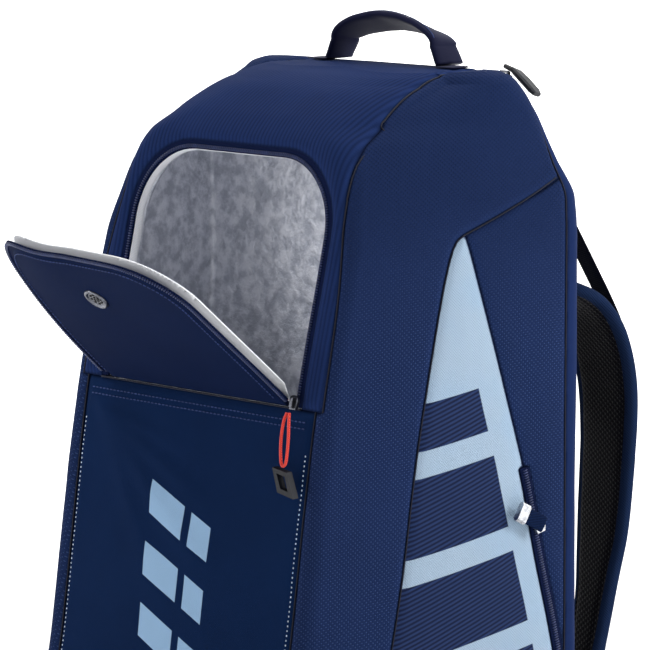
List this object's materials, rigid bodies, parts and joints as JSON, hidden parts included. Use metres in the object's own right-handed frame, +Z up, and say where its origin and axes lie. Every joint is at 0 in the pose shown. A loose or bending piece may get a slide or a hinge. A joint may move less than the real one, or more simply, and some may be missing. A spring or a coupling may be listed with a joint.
{
  "type": "racket backpack",
  "caption": "Padded racket backpack with a front shoe compartment under an unzipped flap, side pockets, a top handle and two shoulder straps.",
  "frame": {"origin": "centre of the base, on the surface the bag stands on", "axes": "+Z up, -Y towards the front with the shoe flap, +Y towards the shoulder straps, +X towards the right side seen from the front"},
  "size_m": [0.3202, 0.4048, 0.554],
  "materials": {
    "ribbed": "ribbed navy woven polyester",
    "dimpled": "dimpled navy woven polyester",
    "twill": "navy twill",
    "smooth": "smooth navy woven polyester",
    "light": "light blue fine dimpled fabric",
    "webbing": "navy ribbed webbing",
    "strap": "blue grey padded strap fabric",
    "back_mesh": "near-black spacer mesh",
    "base": "dark coated base fabric",
    "zip_tape": "navy coil zip tape",
    "facing": "white lining tape",
    "lining": "silver grey coated lining",
    "cord": "red braided cord",
    "gunmetal": "gunmetal plated zinc",
    "silver": "silver plated metal",
    "rubber": "moulded dark rubber",
    "plastic": "moulded black plastic",
    "sheet": "plastic sheet"
  },
  "bodies": {
    "root": {"center_panel": "ribbed", "shoe_pocket_panel": "twill", "shoe_zip_tape_body": "zip_tape", "racket_zip_tape": "zip_tape", "opening_facing": "facing", "shoe_compartment_lining": "lining", "racket_divider": "lining", "back_gusset": "smooth", "back_panel": "back_mesh", "base_panel": "base", "back_stiffener": "sheet", "base_stiffener": "sheet", "side_panel_front_right": "dimpled", "side_panel_rear_right": "dimpled", "side_insert_right": "light", "side_zip_tape_right": "zip_tape", "racket_zip_end_tab_right": "back_mesh", "handle_anchor_right": "webbing", "strap_yoke_right": "back_mesh", "lower_anchor_right": "base", "load_lifter_right": "back_mesh", "back_pad_right": "back_mesh", "side_panel_front_left": "dimpled", "side_panel_rear_left": "dimpled", "side_insert_left": "light", "side_zip_tape_left": "zip_tape", "racket_zip_end_tab_left": "back_mesh", "handle_anchor_left": "webbing", "strap_yoke_left": "back_mesh", "lower_anchor_left": "base", "load_lifter_left": "back_mesh", "back_pad_left": "back_mesh"},
    "flap": {"shoe_flap": "twill", "shoe_zip_tape_flap": "zip_tape", "flap_lining": "facing", "vent_eyelet": "silver"},
    "shoe_slider": {"shoe_zip_slider": "gunmetal"},
    "shoe_pull": {"shoe_pull_cord": "cord", "shoe_pull_toggle": "rubber"},
    "racket_slider": {"racket_zip_slider": "gunmetal"},
    "racket_pull": {"racket_zip_pull": "rubber"},
    "handle": {"top_handle": "webbing"},
    "side_slider_right": {"side_zip_slider_right": "gunmetal"},
    "side_pull_right": {"side_zip_pull_right": "webbing", "side_zip_tip_right": "silver"},
    "strap_right": {"shoulder_strap_right": "strap", "ladder_lock_right": "plastic", "lower_webbing_right": "webbing"},
    "side_slider_left": {"side_zip_slider_left": "gunmetal"},
    "side_pull_left": {"side_zip_pull_left": "webbing", "side_zip_tip_left": "silver"},
    "strap_left": {"shoulder_strap_left": "strap", "ladder_lock_left": "plastic", "lower_webbing_left": "webbing"}
  },
  "joints": [
    {"name": "flap_hinge", "type": "hinge", "parent": "root", "child": "flap", "pos_m": [0, -0.1015, 0.318], "axis": [1, 0, 0], "range_deg": [-57.5, 113]},
    {"name": "shoe_slider_slide", "type": "slide", "parent": "root", "child": "shoe_slider", "axis": [0, 0.2317, 0.9728], "range_m": [0, 0.1]},
    {"name": "shoe_pull_swing", "type": "hinge", "parent": "shoe_slider", "child": "shoe_pull", "pos_m": [0.0936, -0.1085, 0.318], "axis": [1, 0, 0], "range_deg": [-150, 0]},
    {"name": "racket_slider_slide", "type": "slide", "parent": "root", "child": "racket_slider", "axis": [-1, 0, 0], "range_m": [0, 0.165]},
    {"name": "racket_pull_swing", "type": "hinge", "parent": "racket_slider", "child": "racket_pull", "pos_m": [0.086, 0.10035, 0.5216], "axis": [0, -0.9371, 0.3489], "range_deg": [0, 150]},
    {"name": "handle_hinge", "type": "hinge", "parent": "root", "child": "handle", "pos_m": [0, 0.082, 0.5353], "axis": [1, 0, 0], "range_deg": [-75, 75]},
    {"name": "side_slider_slide_right", "type": "slide", "parent": "root", "child": "side_slider_right", "axis": [0.0217, 0.2333, -0.9722], "range_m": [-0.03, 0.075]},
    {"name": "side_pull_swing_right", "type": "hinge", "parent": "side_slider_right", "child": "side_pull_right", "pos_m": [0.15852, 0.06147, 0.22992], "axis": [0.0669, 0.4617, 0.8845], "range_deg": [0, 150]},
    {"name": "strap_swing_right", "type": "hinge", "parent": "root", "child": "strap_right", "pos_m": [0.096, 0.111, 0.374], "axis": [0.1226, 0.0029, -0.9925], "range_deg": [-25, 25], "deforming": ["load_lifter_right"]},
    {"name": "side_slider_slide_left", "type": "slide", "parent": "root", "child": "side_slider_left", "axis": [-0.0217, 0.2333, -0.9722], "range_m": [-0.03, 0.075]},
    {"name": "side_pull_swing_left", "type": "hinge", "parent": "side_slider_left", "child": "side_pull_left", "pos_m": [-0.15852, 0.06147, 0.22992], "axis": [0.0669, -0.4617, -0.8845], "range_deg": [0, 150]},
    {"name": "strap_swing_left", "type": "hinge", "parent": "root", "child": "strap_left", "pos_m": [-0.096, 0.111, 0.374], "axis": [0.1226, -0.0029, 0.9925], "range_deg": [-25, 25], "deforming": ["load_lifter_left"]}
  ]
}
